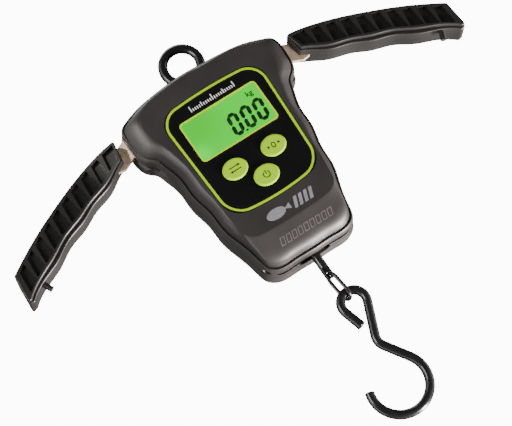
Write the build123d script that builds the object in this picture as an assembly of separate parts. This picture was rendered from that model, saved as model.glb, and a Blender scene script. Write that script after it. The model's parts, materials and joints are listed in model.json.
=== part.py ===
from build123d import *
import os
from math import cos, hypot, radians, sin, tan

# Digital hanging fish scale with two folding grip handles.
# Row frame, millimetres: origin at the centre of the hanging ring's eye, +Z up along
# the load line, the display faces -Y, +X to the right. Y = 0 is the plane of the ring,
# the arm plates and the joint between the two case shells.

# ---- case ----
CASE_FRONT_Y = -17.9
CASE_REAR_Y = 15.1
WALL = 2.2
FOOT_Y = -9.4             # front face of the flange that the raised front stands on
SPLIT_GAP = 0.12
CASE_SCREWS = [(-24, -15.6), (24, -15.6), (-34, -63), (34, -63), (-24.8, -114.5), (24.8, -114.5)]
REAR_POST_R = 3.2

# half outline of the case at its widest, from top centre to bottom centre (x, z)
CASE_HALF = [(0, -5.9), (22, -7.2), (36, -9.8), (44, -12.7), (48.2, -15.3), (50.0, -19.4), (50.2, -28.0),
             (49.3, -35.2), (46.9, -39.4), (43.7, -42.2), (41.7, -47.0), (38.9, -57.0), (38.5, -69.0),
             (36.0, -81.0), (35.3, -93.0), (31.9, -105.0), (29.3, -116.0), (27.2, -123.0), (22.5, -126.7),
             (11.0, -127.6), (0, -127.8)]
# half outline of the raised front face, one point for each point above
FACE_HALF = [(0, -12.1), (18, -12.7), (29, -14.4), (34.8, -17.2), (37.9, -20.6), (39.2, -24.6), (39.1, -29.2),
             (38.0, -33.8), (36.7, -37.2), (35.3, -40.4), (33.9, -45.4), (31.7, -57.0), (31.1, -69.0),
             (29.8, -80.0), (29.1, -90.0), (28.2, -98.0), (27.2, -102.8), (23.6, -106.2), (16.0, -107.6),
             (7.5, -108.0), (0, -108.1)]
LAST_SIDE_POINT = 14      # points after this one belong to the sloped lower face
# raised front, foot to face: depth behind the face, how far the side and the lower
# outline have moved from the case outline to the face outline
FRONT_STEPS = [(9.2, 0.0, 0.0), (6.1, 0.10, 0.09), (3.7, 0.27, 0.24), (1.8, 0.50, 0.60), (0.6, 0.76, 0.87),
               (0.0, 1.0, 1.0)]
FOOT_INSET = 2.8
GROOVE_DEPTH = 0.8
# rear shell, from the joint backwards: depth, share of the way to the flat back's outline
REAR_STEPS = [(7.0, 0.0), (10.6, 0.08), (12.8, 0.27), (14.2, 0.53), (14.9, 0.80), (CASE_REAR_Y, 1.0)]
BACK_LOW = [(28.4, -103.0), (25.4, -112.5), (22.6, -117.4), (17.8, -119.9), (9.0, -120.7), (0, -120.8)]

# ---- display panel ----
PANEL_TOP = (29.9, -26.6, -24.7)      # corner x, corner z, z at the crown of the top edge
PANEL_LOW = (27.0, -90.7, -93.5)
PANEL_GROW = 0.95                     # black margin outside the border line's middle
PANEL_THICK = 1.2
LCD_Z = -46.4
WINDOW_W, WINDOW_H = 45.2, 23.2
UNIT_BUTTON = (-11.8, -70.3)
TARE_BUTTON = (11.8, -70.3)
POWER_BUTTON = (0.0, -81.8)
BUTTON_W, BUTTON_H = 14.0, 11.5
BUTTON_PROUD = 1.1
BUTTON_GAP = 0.25

# ---- electronics ----
BOARD_FRONT_Y = -12.2
BOARD_THICK = 1.6
BOARD_SCREWS = [(-28.2, -33.5), (28.2, -33.5), (-24.6, -87.0), (24.6, -87.0)]

# ---- load path ----
RING_OUTER = 12.8
RING_WIRE = 5.2
SHANK_D = 5.0
CELL_TOP, CELL_LOW = -36.0, -72.0
CELL_HALF_W, CELL_HALF_D = 18.0, 5.5
SLOT_H = 5.0
LIMB = 5.5
STUD_D = 5.0
STUD_EYE = (0.0, -139.2)
STUD_END = -141.6
LINK_WIRE = 2.1
LINK_INNER_W, LINK_INNER_L = 6.7, 14.5
LINK_TILT = 6.3           # hangs a little towards +X, over the hook's centre of mass
LINK_TURN = 16.0          # the link's plane, turned from the YZ plane
HOOK_WIRE = 5.0
HOOK_EYE = (2.3, -158.9)
HOOK_EYE_R = 6.9
HOOK_BOWL = (-3.0, -206.4)
HOOK_BOWL_R = 15.6
HOOK_TAIL_ANGLE, HOOK_TAIL_LENGTH = 16.0, 11.0
HOOK_SHANK_ANGLE = 22.6
HOOK_CROSS_ANGLE = 33.2
HOOK_BEND_R = 7.0
HOOK_TIP_ANGLE = -198.0

# ---- handles, in the arm's own coordinates: s along the arm from the pin, h across it ----
PIN = (39.0, -30.5)
PIN_D = 6.0
PIN_BOSS_R = 4.9
LEFT_DROOP, RIGHT_DROOP = 25.0, 23.0
FOLDED_DROOP = 98.5
ARM_THICK = 3.0
ARM_LOW, ARM_HIGH = 4.4, 14.6
HANDLE_FRONT_D, HANDLE_REAR_D = 9.75, 11.0
GRIP_TOP = [(9.2, 16.6), (17.8, 18.9), (30.8, 20.9), (43.8, 21.9), (58.8, 22.2), (73.8, 21.9), (85.8, 20.9),
            (97.6, 19.4)]
GRIP_END = (105.2, 5.0)
GRIP_MID = 57.0
GRIP_LOW = [(102.6, 3.6), (90, 5.5), (79, 5.3), (66, 6.8), (54, 5.8), (43, 6.3), (31, 5.0), (20, 6.6),
            (15.2, 6.8)]
RIM_LOW = [(102.9, 5.0), (90, 7.2), (78, 7.6), (66, 8.8), (54, 7.9), (43, 7.9), (31.6, 6.6), (20.6, 7.5),
           (15.8, 7.7)]
POCKETS = 10
POCKET_FIRST, POCKET_PITCH = 19.1, 8.37      # far side of the first pocket at the handle's back
POCKET_LEAN = 5.6
POCKET_TOP_W, POCKET_LOW_W = 4.9, 7.6        # ribs taper from wide at the back to thin at the fingers
FIRST_TOP_W = 7.4
POCKET_FLOOR_Y = -7.2
HANDLE_SCREWS, SCREW_H = [26.0, 56.0, 84.0], 11.9
PEG_AT, PEG_Y = 92.2, -4.6
PEG_D = 3.2

# ---- batteries ----
CELL_R, CELL_LEN = 5.25, 44.5
BATTERY_X, BATTERY_Y, BATTERY_TOP = 13.5, 6.2, -74.8
TRAY_TOP, TRAY_LOW = -73.2, -120.6
COVER_HALF_W, COVER_TOP, COVER_LOW = 20.0, -71.6, -122.4
COVER_THICK = 1.8


def save(shape, node):
    os.makedirs("parts", exist_ok=True)
    export_step(shape, f"parts/{node}.step")
    print(node, round(shape.volume, 1))


def box(x0, x1, y0, y1, z0, z1):
    """A box between two corners."""
    return Pos((x0 + x1) / 2, (y0 + y1) / 2, (z0 + z1) / 2) * Box(abs(x1 - x0), abs(y1 - y0), abs(z1 - z0))


def rod_y(x, z, radius, y0, y1):
    """A round rod along Y."""
    return Pos(x, (y0 + y1) / 2, z) * Rot(90, 0, 0) * Cylinder(radius, abs(y1 - y0))


def rod_z(x, y, radius, z0, z1):
    return Pos(x, y, (z0 + z1) / 2) * Cylinder(radius, abs(z1 - z0))


def front_plane(y):
    """The XZ plane at depth y: sketches drawn as (x, z), extruded towards the front."""
    return Plane(origin=(0, y, 0), x_dir=(1, 0, 0), z_dir=(0, -1, 0))


def slab(sketch, y_rear, y_front):
    """A flat sketch (x, z) given thickness between two depths."""
    return extrude(front_plane(y_rear) * sketch, y_rear - y_front, dir=(0, -1, 0))


# ---------------------------------------------------------------- case shells
def mirrored(half):
    """The whole outline from its right half."""
    left = [(-x, z) for x, z in reversed(half[1:-1])]
    return half + left


def inset(points, amount):
    """Move each point of a closed outline inwards, square to its neighbours."""
    moved = []
    for i, (x, z) in enumerate(points):
        before, after = points[i - 1], points[(i + 1) % len(points)]
        dx, dz = after[0] - before[0], after[1] - before[1]
        length = hypot(dx, dz)
        moved.append((x + amount * dz / length, z - amount * dx / length))
    return moved


def between(side_share, low_share):
    """Outline part of the way from the foot of the raised front to its face."""
    foot = inset(mirrored(CASE_HALF), FOOT_INSET)[:len(CASE_HALF)]
    points = []
    for i, ((x0, z0), (x1, z1)) in enumerate(zip(foot, FACE_HALF)):
        share = side_share if i < LAST_SIDE_POINT else low_share
        if i == LAST_SIDE_POINT:
            share = (side_share + low_share) / 2
        points.append((x0 + (x1 - x0) * share, z0 + (z1 - z0) * share))
    return mirrored(points)


def outline_face(points, y):
    ring = Spline(*[(x, y, z) for x, z in points], periodic=True)
    return Face(Wire([ring]))


def skin(sections):
    """Smooth solid through closed outlines, given as (depth, points)."""
    return loft([outline_face(points, y) for y, points in sections])


def case_outline(amount):
    return inset(mirrored(CASE_HALF), amount)


def front_form():
    steps = [(0, 0.6), (-4.5, 0.9), (-8.6, 1.35), (FOOT_Y, 1.8)]
    flange = skin([(y, case_outline(amount)) for y, amount in steps])
    groove_floor = outline_face(case_outline(2.0), FOOT_Y + GROOVE_DEPTH)
    flange -= extrude(groove_floor, 3, dir=(0, -1, 0))
    foot = outline_face(between(0, 0), CASE_FRONT_Y + FRONT_STEPS[0][0])
    raised = skin([(CASE_FRONT_Y + depth, between(side, low)) for depth, side, low in FRONT_STEPS])
    return flange + extrude(foot, 2, dir=(0, 1, 0)) + raised


def front_hollow():
    wall = [(CASE_FRONT_Y + WALL + depth, inset(between(side, low), WALL)) for depth, side, low in FRONT_STEPS]
    return skin([(0.5, case_outline(2.9))] + wall)


def back_outline(share):
    """Outline part of the way from the case's widest outline to its flat back."""
    flat = FACE_HALF[:LAST_SIDE_POINT + 1] + BACK_LOW
    pairs = zip(CASE_HALF, flat)
    return mirrored([(x0 + (x1 - x0) * share, z0 + (z1 - z0) * share) for (x0, z0), (x1, z1) in pairs])


def rear_form():
    return skin([(0, case_outline(0.5))] + [(y, back_outline(share)) for y, share in REAR_STEPS])


def rear_hollow():
    wall = [(y - WALL, inset(back_outline(share), WALL)) for y, share in REAR_STEPS[1:]]
    return skin([(-0.5, case_outline(2.8)), (4.8, case_outline(2.3))] + wall)


def at_pin(shape, droop, side):
    """Carry a shape drawn along +X from the pin's axis to its side of the case."""
    turned = Pos(PIN[0], 0, PIN[1]) * Rot(0, droop, 0) * shape
    if side > 0:
        return turned
    flipped = [mirror(solid, Plane.YZ) for solid in turned.solids()]
    return flipped[0] if len(flipped) == 1 else Compound(flipped)


def arm_slot(droop, side):
    """The space that the arm plate sweeps through the case wall."""
    half = ARM_THICK / 2 + 0.35
    steps = 7
    swept = None
    for i in range(steps):
        angle = droop + (FOLDED_DROOP - droop) * i / (steps - 1)
        blade = box(0, 24, -half, half, ARM_LOW - 0.4, ARM_HIGH + 0.4)
        placed = at_pin(blade, angle, side)
        swept = placed if swept is None else swept + placed
    return swept


def peg_socket(side):
    """Hole in the side of the case for the folded handle's peg."""
    hole = Pos(PEG_AT, PEG_Y, -0.5) * Cylinder(PEG_D / 2 + 0.7, 14)
    return at_pin(hole, FOLDED_DROOP, side)


def case_openings():
    stud_slot = box(-6.5, 6.5, -2.9, 2.9, -131, -123)
    stud_slot += rod_z(-6.5, 0, 2.9, -131, -123) + rod_z(6.5, 0, 2.9, -131, -123)
    ring_seat = Rot(90, 0, 0) * Torus(RING_OUTER - RING_WIRE / 2, RING_WIRE / 2 + 0.3)
    cuts = [rod_z(0, 0, SHANK_D / 2 + 0.3, -20, -5), ring_seat, stud_slot]
    for side, droop in ((-1, LEFT_DROOP), (1, RIGHT_DROOP)):
        cuts += [arm_slot(droop, side), peg_socket(side)]
    return cuts


def panel_outline(grow):
    """Crowned rounded outline of the display panel."""
    (tx, tz, tc), (lx, lz, lc) = PANEL_TOP, PANEL_LOW
    edges = [ThreePointArc((-tx, tz), (0, tc), (tx, tz)), Line((tx, tz), (lx, lz)),
             ThreePointArc((lx, lz), (0, lc), (-lx, lz)), Line((-lx, lz), (-tx, tz))]
    face = make_face(Wire(edges))
    top = fillet(face.vertices().group_by(Axis.Y)[-1], 9.5)
    full = fillet(top.vertices().group_by(Axis.Y)[0], 10.8)
    return offset(full, grow)


def button_holes(grow):
    holes = None
    for x, z in (UNIT_BUTTON, TARE_BUTTON, POWER_BUTTON):
        hole = Pos(x, z) * Ellipse(BUTTON_W / 2 + grow, BUTTON_H / 2 + grow)
        holes = hole if holes is None else holes + hole
    return holes


def front_shell(openings):
    form = front_form()
    posts = [rod_y(x, z, 2.6, -0.3, -13) for x, z in CASE_SCREWS]
    posts += [rod_y(x, z, 2.0, BOARD_FRONT_Y, CASE_FRONT_Y + 1.6) for x, z in BOARD_SCREWS]
    shell = (form - front_hollow()) + (Compound(posts) & form)
    panel_seat = slab(panel_outline(PANEL_GROW + 0.12), CASE_FRONT_Y + PANEL_THICK, CASE_FRONT_Y - 3)
    lcd_bay = Pos(0, LCD_Z) * RectangleRounded(51.2, 29.2, 1.5)
    holes = slab(lcd_bay + button_holes(BUTTON_GAP), CASE_FRONT_Y + 4, CASE_FRONT_Y - 3)
    pilots = [rod_y(x, z, 1.25, 0.5, -9.5) for x, z in CASE_SCREWS]
    pilots += [rod_y(x, z, 1.0, -10, -15.6) for x, z in BOARD_SCREWS]
    joint = box(-60, 60, -SPLIT_GAP / 2, 3, -135, 0)
    return shell - ([panel_seat, holes, joint] + pilots + openings)


def rear_shell(openings):
    form = rear_form()
    posts = [rod_y(x, z, REAR_POST_R, 0.3, 14) for x, z in CASE_SCREWS]
    shell = (form - rear_hollow()) + (Compound(posts) & form)
    cuts = [rod_y(x, z, 1.35, -1, 16) for x, z in CASE_SCREWS]
    cuts += [rod_y(x, z, 2.5, 10.4, 17) for x, z in CASE_SCREWS]
    w = COVER_HALF_W + 0.15
    cuts.append(box(-w, w, 12.0, 16, COVER_LOW + 3.4, COVER_TOP + 0.15))
    cuts.append(box(-w, w, CASE_REAR_Y - COVER_THICK - 0.15, 16, -131, COVER_TOP + 0.15))
    cuts.append(box(-w - 1.3, w + 1.3, 13.45, 14.65, -131, COVER_TOP + 0.15))
    cuts.append(box(-60, 60, -3, SPLIT_GAP / 2, -135, 0))
    return shell - (cuts + openings)


def case_screws():
    screws = []
    for x, z in CASE_SCREWS:
        screw = rod_y(x, z, 1.2, 10.6, -9.0) + rod_y(x, z, 2.3, 10.5, 12.4)
        screw -= box(x - 1.5, x + 1.5, 11.7, 13, z - 0.3, z + 0.3)
        screw -= box(x - 0.3, x + 0.3, 11.7, 13, z - 1.5, z + 1.5)
        screws.append(screw)
    return Compound(screws)


# ---------------------------------------------------------------- display and keys
def front_panel():
    panel = slab(panel_outline(PANEL_GROW), CASE_FRONT_Y + PANEL_THICK - 0.03, CASE_FRONT_Y)
    window = Pos(0, LCD_Z) * RectangleRounded(WINDOW_W, WINDOW_H, 1.6)
    panel -= slab(window, CASE_FRONT_Y + 3, CASE_FRONT_Y - 1)
    return panel - slab(button_holes(BUTTON_GAP), CASE_FRONT_Y + 3, CASE_FRONT_Y - 1)


def display_window():
    lens = Pos(0, LCD_Z) * RectangleRounded(WINDOW_W - 0.06, WINDOW_H - 0.06, 1.57)
    return slab(lens, CASE_FRONT_Y + 0.95, CASE_FRONT_Y + 0.12)


def layer(half_w, half_h, y_rear, y_front):
    return box(-half_w, half_w, y_rear, y_front, LCD_Z - half_h, LCD_Z + half_h)


def lcd_glass():
    """Two bonded sheets; the front one is shorter, so that the rear one shows its contacts."""
    return layer(25.2, 14.2, -15.6, -16.1) + layer(25.2, 12.6, -16.1, -16.6)


def backlight():
    guide = layer(25.2, 12.4, -12.6, -15.5)
    return guide + box(-25.2, -21.2, -12.6, -15.5, LCD_Z - 14.0, LCD_Z - 12.0)


def contact_strips():
    """Two elastomer strips that carry the display's contacts to the board."""
    top = box(-22, 22, -12.25, -15.55, LCD_Z + 12.6, LCD_Z + 14.2)
    low = box(-19, 22, -12.25, -15.55, LCD_Z - 14.2, LCD_Z - 12.6)
    return Compound([top, low])


def button_cap(x, z):
    face = CASE_FRONT_Y - BUTTON_PROUD
    cap = slab(Pos(x, z) * Ellipse(BUTTON_W / 2, BUTTON_H / 2), CASE_FRONT_Y + 2.5, face)
    cap = fillet(cap.edges().sort_by(Axis.Y)[0], 0.9)
    rim = Pos(x, z) * Ellipse(BUTTON_W / 2 + 0.9, BUTTON_H / 2 + 0.9)
    flange = slab(rim, CASE_FRONT_Y + 3.1, CASE_FRONT_Y + 2.3)
    return cap + flange + rod_y(x, z, 1.5, CASE_FRONT_Y + 3.1, -14.7)


def circuit_board():
    corners = [(-30.5, -29), (30.5, -29), (30.5, -60), (27.0, -92), (-27.0, -92), (-30.5, -60)]
    outline = Polygon(*corners, align=None)
    board = slab(fillet(outline.vertices(), 2), BOARD_FRONT_Y + BOARD_THICK, BOARD_FRONT_Y)
    for x, z in BOARD_SCREWS:
        board -= rod_y(x, z, 1.1, -14, -8)
    return board


def board_screws():
    screws = []
    rear = BOARD_FRONT_Y + BOARD_THICK
    for x, z in BOARD_SCREWS:
        screw = rod_y(x, z, 0.95, rear + 0.1, -15.2) + rod_y(x, z, 1.8, rear + 0.02, rear + 1.3)
        screw -= box(x - 1.2, x + 1.2, rear + 0.8, rear + 2, z - 0.25, z + 0.25)
        screws.append(screw)
    return Compound(screws)


def switches():
    """One tact switch behind each key."""
    bodies = []
    front = BOARD_FRONT_Y - 0.02
    for x, z in (UNIT_BUTTON, TARE_BUTTON, POWER_BUTTON):
        body = box(x - 3, x + 3, front, front - 1.3, z - 3, z + 3)
        bodies.append(body + rod_y(x, z, 1.7, front - 1.2, front - 1.65))
    return Compound(bodies)


def board_parts():
    """Processor, converter, crystal, regulator and capacitors behind the board."""
    rear = BOARD_FRONT_Y + BOARD_THICK + 0.02
    parts = [box(-6, 6, rear, rear + 1.4, -58, -46), box(-20, -15, rear, rear + 1.6, -70, -61),
             box(14, 24, rear, rear + 3.0, -66, -62), box(12, 17, rear, rear + 1.5, -52, -48)]
    for i in range(5):
        x = -22 + 3.4 * i
        parts.append(box(x, x + 1.8, rear, rear + 0.9, -43, -41.8))
    parts.append(rod_y(20, -44.8, 2.5, rear, rear + 3.2))
    return Compound(parts)


def buzzer():
    rear = BOARD_FRONT_Y + BOARD_THICK + 0.02
    return rod_y(18.5, -78, 5.0, rear, rear + 3.6) - rod_y(18.5, -78, 0.8, rear + 3.0, rear + 5)


# ---------------------------------------------------------------- load path
def hang_ring():
    r = RING_WIRE / 2
    ring = Rot(90, 0, 0) * Torus(RING_OUTER - r, r)
    shank = rod_z(0, 0, SHANK_D / 2, CELL_TOP - LIMB + 0.2, -(RING_OUTER - r))
    return ring + shank


def hex_nut(flats, height, bore):
    nut = extrude(RegularPolygon(flats / 2, 6, major_radius=False), height)
    return nut - Cylinder(bore / 2, 4 * height)


def ring_nuts():
    """Two nuts clamp the yoke on the ring's shank, one locks the load cell."""
    nut = hex_nut(8.0, 3.4, SHANK_D + 0.02)
    return Compound([Pos(0, 0, z) * nut for z in (-19.95, -25.05, CELL_TOP + 0.05)])


def yoke():
    """Steel channel that joins both hinge pins to the ring's shank."""
    web = box(-25, 25, -7.5, 7.5, -21.5, -20.0)
    x, high, low = PIN[0], PIN[1] + PIN_BOSS_R, PIN[1] - PIN_BOSS_R
    right = [(27, -20), (x, high), (x, low), (24, -40)]
    plate = Polygon(*right, *[(-px, pz) for px, pz in reversed(right)], align=None)
    plate += Pos(*PIN) * Circle(PIN_BOSS_R) + Pos(-x, PIN[1]) * Circle(PIN_BOSS_R)
    for side in (-1, 1):
        plate -= Pos(side * PIN[0], PIN[1]) * Circle(PIN_D / 2 + 0.02)
    plate -= Pos(-16, -30.5) * Circle(4.5) + Pos(16, -30.5) * Circle(4.5)
    frame = web + slab(plate, 7.5, 6.0) + slab(plate, -6.0, -7.5)
    return frame - rod_z(0, 0, SHANK_D / 2 + 0.1, -25, -15)


def hinge_pin(side):
    x, z = side * PIN[0], PIN[1]
    return rod_y(x, z, PIN_D / 2, -7.5, 7.5) + rod_y(x, z, 4.2, 7.52, 8.8) + rod_y(x, z, 4.2, -7.52, -8.8)


def hinge_bushes():
    """Spacers that centre each arm between the yoke's two walls."""
    bushes = []
    for side in (-1, 1):
        for face in (-1, 1):
            x = side * PIN[0]
            bush = rod_y(x, PIN[1], PIN_BOSS_R - 1, face * 1.75, face * 5.97)
            bushes.append(bush - rod_y(x, PIN[1], PIN_D / 2 + 0.02, -8, 8))
    return Compound(bushes)


def load_cell():
    """S-shaped aluminium beam: the two slots make its centre bend under load."""
    w, d = CELL_HALF_W, CELL_HALF_D
    beam = box(-w, w, -d, d, CELL_LOW, CELL_TOP)
    top_slot = CELL_TOP - LIMB
    low_slot = CELL_LOW + LIMB
    beam -= box(-w - 1, 9, -d - 1, d + 1, top_slot - SLOT_H, top_slot)
    beam -= box(-9, w + 1, -d - 1, d + 1, low_slot, low_slot + SLOT_H)
    beam -= rod_y(-3.4, (CELL_TOP + CELL_LOW) / 2, 3.6, -d - 1, d + 1)
    beam -= rod_y(3.4, (CELL_TOP + CELL_LOW) / 2, 3.6, -d - 1, d + 1)
    beam -= rod_z(0, 0, SHANK_D / 2 + 0.01, top_slot - 1, CELL_TOP + 1)
    return beam - rod_z(0, 0, STUD_D / 2 + 0.06, CELL_LOW - 1, low_slot + 1)


def cell_potting():
    """Pads of sealing compound over the strain gauges."""
    mid = (CELL_TOP + CELL_LOW) / 2
    near, far = CELL_HALF_D + 0.02, CELL_HALF_D + 0.9
    spots = [(x, face) for x in (-3.4, 3.4) for face in (-1, 1)]
    pads = [box(x - 3.2, x + 3.2, face * near, face * far, mid - 4, mid + 4) for x, face in spots]
    return Compound([fillet(pad.edges().filter_by(Axis.Y), 1) for pad in pads])


def load_stud():
    """Round stud, turned down by the load: flattened end with a cross hole for the link."""
    stud = rod_z(0, 0, STUD_D / 2, STUD_END, CELL_LOW + LIMB + 4.4)
    flat = 1.2
    turned = Rot(0, 0, LINK_TURN)
    for face in (-1, 1):
        stud -= turned * box(-4, 4, face * flat, face * 4, STUD_END - 1, STUD_EYE[1] + 4.2)
    x, z = STUD_EYE
    return stud - turned * rod_y(x, z, LINK_WIRE / 2 + 0.35, -5, 5)


def stud_nut():
    low_slot = CELL_LOW + LIMB
    washer = rod_z(0, 0, 4.4, low_slot + 0.1, low_slot + 0.6) - rod_z(0, 0, STUD_D / 2 + 0.01, -85, -50)
    nut = Pos(0, 0, low_slot + 0.62) * hex_nut(8.0, 3.4, STUD_D + 0.02)
    return Compound([washer, nut])


def chain_link():
    """Oval link: two straight wires and two half-round bends."""
    bend = (LINK_INNER_W + LINK_WIRE) / 2
    half = (LINK_INNER_L + LINK_WIRE) / 2 - bend
    wire = LINK_WIRE / 2
    link = None
    for side in (-1, 1):
        bar = Pos(0, side * bend, 0) * Cylinder(wire, 2 * half)
        arc = Pos(0, 0, side * half) * Rot(0, 90, 0) * Torus(bend, wire)
        arc &= box(-10, 10, -10, 10, side * half, side * (half + 10))
        link = bar + arc if link is None else link + bar + arc
    hung = Rot(0, 0, LINK_TURN) * Pos(0, 0, -bend - half) * link
    return Pos(0, 0, STUD_EYE[1]) * Rot(0, -LINK_TILT, 0) * hung


def hook_points():
    """Where the hook's straight runs meet its eye and its bowl."""
    tail, shank, cross = radians(HOOK_TAIL_ANGLE), radians(HOOK_SHANK_ANGLE), radians(HOOK_CROSS_ANGLE)
    (ex, ez), er = HOOK_EYE, HOOK_EYE_R
    (bx, bz), br = HOOK_BOWL, HOOK_BOWL_R
    tail_start = (ex - er * cos(tail), ez - er * sin(tail))
    tail_end = (tail_start[0] + HOOK_TAIL_LENGTH * sin(tail), tail_start[1] - HOOK_TAIL_LENGTH * cos(tail))
    shank_start = (ex + er * cos(shank), ez - er * sin(shank))
    bowl_start = (bx + br * cos(cross), bz + br * sin(cross))
    # the shank runs down to the left, the crossbar comes up to the left; they meet at the corner
    dx, dz = bowl_start[0] - shank_start[0], bowl_start[1] - shank_start[1]
    turn = sin(shank + cross)
    run = (-dx * cos(cross) - dz * sin(cross)) / turn
    corner = (shank_start[0] - run * sin(shank), shank_start[1] - run * cos(shank))
    return tail_end, tail_start, shank_start, corner, bowl_start


def load_hook():
    tail_end, tail_start, shank_start, corner, bowl_start = hook_points()
    shank, cross = radians(HOOK_SHANK_ANGLE), radians(HOOK_CROSS_ANGLE)
    back_off = HOOK_BEND_R * tan((shank + cross) / 2)
    bend_in = (corner[0] + back_off * sin(shank), corner[1] + back_off * cos(shank))
    bend_out = (corner[0] + back_off * sin(cross), corner[1] - back_off * cos(cross))
    bisect = (shank - cross) / 2
    reach = HOOK_BEND_R / cos((shank + cross) / 2) - HOOK_BEND_R
    bend_mid = (corner[0] + reach * cos(bisect), corner[1] - reach * sin(bisect))
    tip = radians(HOOK_TIP_ANGLE)
    mid = (radians(HOOK_CROSS_ANGLE) + tip) / 2
    bowl_mid = (HOOK_BOWL[0] + HOOK_BOWL_R * cos(mid), HOOK_BOWL[1] + HOOK_BOWL_R * sin(mid))
    bowl_tip = (HOOK_BOWL[0] + HOOK_BOWL_R * cos(tip), HOOK_BOWL[1] + HOOK_BOWL_R * sin(tip))
    eye_top = (HOOK_EYE[0], HOOK_EYE[1] + HOOK_EYE_R)
    runs = [Line(tail_end, tail_start), ThreePointArc(tail_start, eye_top, shank_start),
            Line(shank_start, bend_in), ThreePointArc(bend_in, bend_mid, bend_out),
            Line(bend_out, bowl_start), ThreePointArc(bowl_start, bowl_mid, bowl_tip)]
    path = front_plane(0) * Wire(runs)
    start = Plane(origin=path @ 0, z_dir=path % 0)
    hook = sweep(start * Circle(HOOK_WIRE / 2), path=path)
    round_edges = hook.edges().filter_by(GeomType.CIRCLE)
    tips = [e for e in round_edges if min((e.arc_center - path @ at).length for at in (0, 1)) < 0.1]
    return fillet(tips, 0.7)


# ---------------------------------------------------------------- handles
def grip_face(low, shrink=0.0):
    """Side view of the handle between its crowned back and a waved finger edge."""
    def moved(points, across):
        return [(s - shrink * (s - GRIP_MID) / (GRIP_END[0] - GRIP_MID), h + across) for s, h in points]

    top, under, end = moved(GRIP_TOP, -shrink), moved(low, shrink), moved([GRIP_END], shrink)[0]
    runs = [Spline(*top), Line(top[-1], end), Line(end, under[0]), Spline(*under), Line(under[-1], top[0])]
    return make_face(Wire(runs))


def grip_half(face_sign):
    """One moulding, from the middle plane to its outer face: body, groove, raised rim."""
    wide = fillet(grip_face(GRIP_LOW).vertices(), 1.2)
    rim = fillet(grip_face(RIM_LOW).vertices(), 1.2)
    y_body, y_face = face_sign * 7.0, HANDLE_REAR_D if face_sign > 0 else -HANDLE_FRONT_D
    body = slab(wide, face_sign * 0.04, y_body)
    body = fillet(body.faces().sort_by(Axis.Y)[0 if face_sign < 0 else -1].edges(), 0.8)
    neck = slab(grip_face(RIM_LOW, 0.5), y_body - face_sign * 0.5, y_body + face_sign * 0.9)
    cap = slab(rim, y_body + face_sign * 0.55, y_face)
    cap = fillet(cap.faces().sort_by(Axis.Y)[0 if face_sign < 0 else -1].edges(), 0.8)
    half = body + neck + cap
    return half - arm_recess(face_sign)


def arm_shape():
    """The arm plate's side view: a round eye at the pin, cranked up into the handle."""
    blade = Polygon((-2, ARM_HIGH - 4), (3, ARM_HIGH), (93, ARM_HIGH), (96, ARM_HIGH - 4), (96, ARM_LOW + 5.6),
                    (24, ARM_LOW + 4.4), (17, ARM_LOW), (8, ARM_LOW), (0, ARM_LOW - 2), align=None)
    return blade + Circle(7.2)


def arm_recess(face_sign):
    """Pocket for the arm plate in the moulding's middle plane, and the screws' holes."""
    cut = slab(offset(arm_shape(), 0.15), 0, face_sign * (ARM_THICK / 2 + 0.03))
    if face_sign > 0:
        for s in HANDLE_SCREWS:
            cut += rod_y(s, SCREW_H, 1.35, -1, 12) + rod_y(s, SCREW_H, 2.6, 7.4, 12)
    else:
        for s in HANDLE_SCREWS:
            cut += rod_y(s, SCREW_H, 1.25, 1, -3.2)
    return cut


def spline_at(points, s):
    """Height of a waved edge at a distance along the arm, straight between its points."""
    ordered = sorted(points)
    for (s0, h0), (s1, h1) in zip(ordered, ordered[1:]):
        if s0 <= s <= s1:
            return h0 + (h1 - h0) * (s - s0) / (s1 - s0)
    return ordered[0][1] if s < ordered[0][0] else ordered[-1][1]


def pocket(index):
    """One leaning pocket in the handle's front face."""
    s = POCKET_FIRST + POCKET_PITCH * index
    low_s = s + POCKET_LEAN
    top_w = POCKET_TOP_W if index else FIRST_TOP_W
    top = [(x, spline_at(GRIP_TOP, x) - 1.5) for x in (s - top_w, s)]
    low = [(x, spline_at(RIM_LOW, x) + 1.7) for x in (low_s, low_s - POCKET_LOW_W)]
    shape = Polygon(*top, *low, align=None)
    return slab(fillet(shape.vertices(), 0.5), POCKET_FLOOR_Y, -12)


def handle_front():
    half = grip_half(-1)
    for index in range(POCKETS):
        half -= pocket(index)
    return half - peg_hole()


def handle_rear():
    return grip_half(1)


def peg_hole():
    return Pos(PEG_AT, PEG_Y, 5.5) * Cylinder(PEG_D / 2 + 0.02, 7.0)


def arm_plate():
    plate = slab(arm_shape(), ARM_THICK / 2, -ARM_THICK / 2)
    plate -= rod_y(0, 0, PIN_D / 2 + 0.06, -5, 5)
    for s in HANDLE_SCREWS:
        plate -= rod_y(s, SCREW_H, 1.4, -5, 5)
    return plate


def latch_peg():
    """Ribbed rubber peg that plugs the folded handle into the case."""
    low, root = 0.2, 8.6
    peg = Pos(PEG_AT, PEG_Y, (low + root) / 2) * Cylinder(PEG_D / 2, root - low)
    for i in range(4):
        groove = Cylinder(3, 0.45) - Cylinder(PEG_D / 2 - 0.35, 1)
        peg -= Pos(PEG_AT, PEG_Y, low + 0.9 + 1.05 * i) * groove
    return peg


def handle_screws():
    screws = []
    for s in HANDLE_SCREWS:
        screw = rod_y(s, SCREW_H, 1.2, 7.5, -3.0) + rod_y(s, SCREW_H, 2.4, 7.42, 9.0)
        cross = box(s - 1.5, s + 1.5, 8.4, 10, SCREW_H - 0.3, SCREW_H + 0.3)
        screw -= cross + box(s - 0.3, s + 0.3, 8.4, 10, SCREW_H - 1.5, SCREW_H + 1.5)
        screws.append(screw)
    return Compound(screws)


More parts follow.
